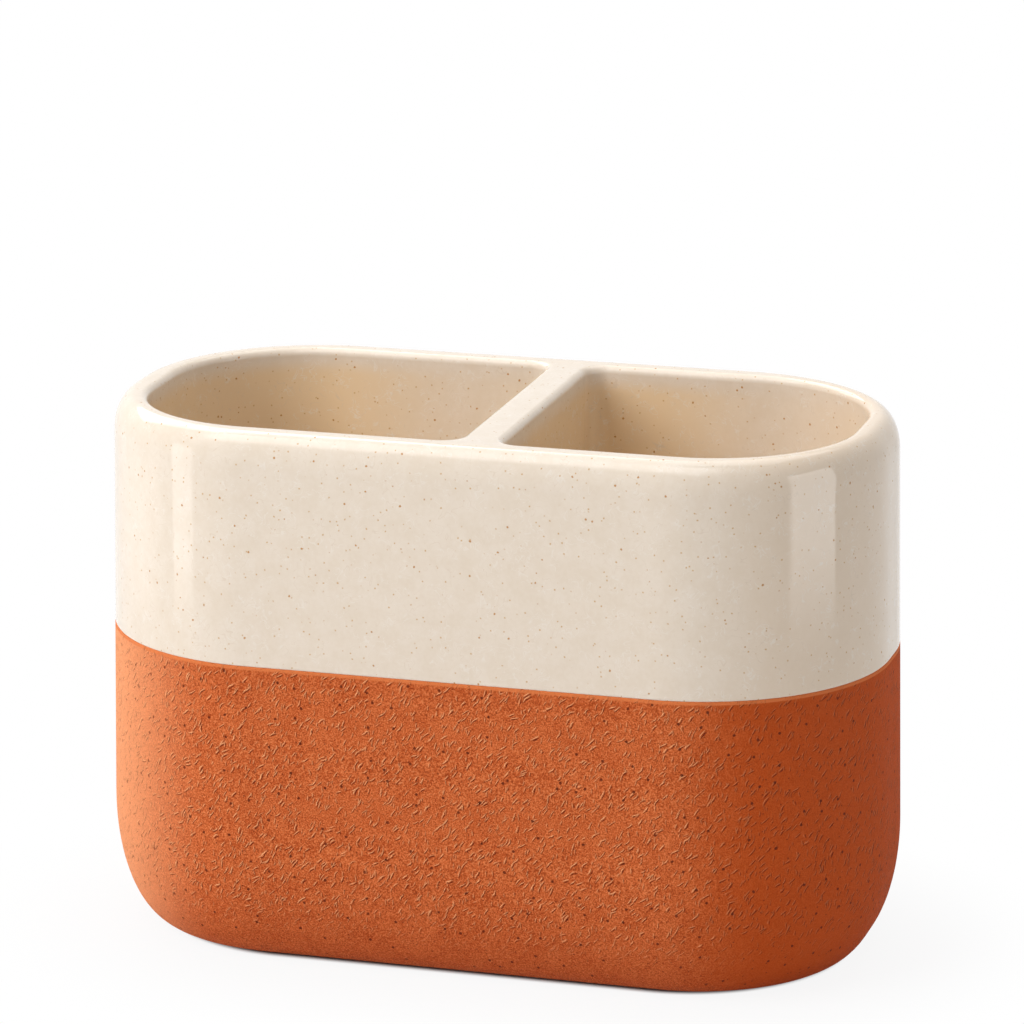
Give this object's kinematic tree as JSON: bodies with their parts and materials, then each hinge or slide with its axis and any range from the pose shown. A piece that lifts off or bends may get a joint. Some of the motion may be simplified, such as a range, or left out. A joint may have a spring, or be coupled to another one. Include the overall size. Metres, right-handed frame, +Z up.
{
  "type": "toothbrush holder",
  "caption": "Free-standing ceramic toothbrush holder with an off-centre divider, cream glaze above a level line and bare terracotta below.",
  "frame": {"origin": "middle of the footprint, on the surface that the pads stand on", "axes": "+X along the length, with the wider compartment towards -X; +Y to the back; +Z up"},
  "size_m": [0.1526, 0.0798, 0.104],
  "materials": {
    "terracotta": "bare fired clay, matt, finely wrinkled surface with small pits",
    "cream_glaze": "glossy cream glaze with sparse fine brown specks",
    "soft_pad": "matt off-white silicone"
  },
  "bodies": {
    "root": {"clay_body": "terracotta", "glaze_coat": "cream_glaze", "pad_front_left": "soft_pad", "pad_front_right": "soft_pad", "pad_back_left": "soft_pad", "pad_back_right": "soft_pad"}
  },
  "joints": []
}
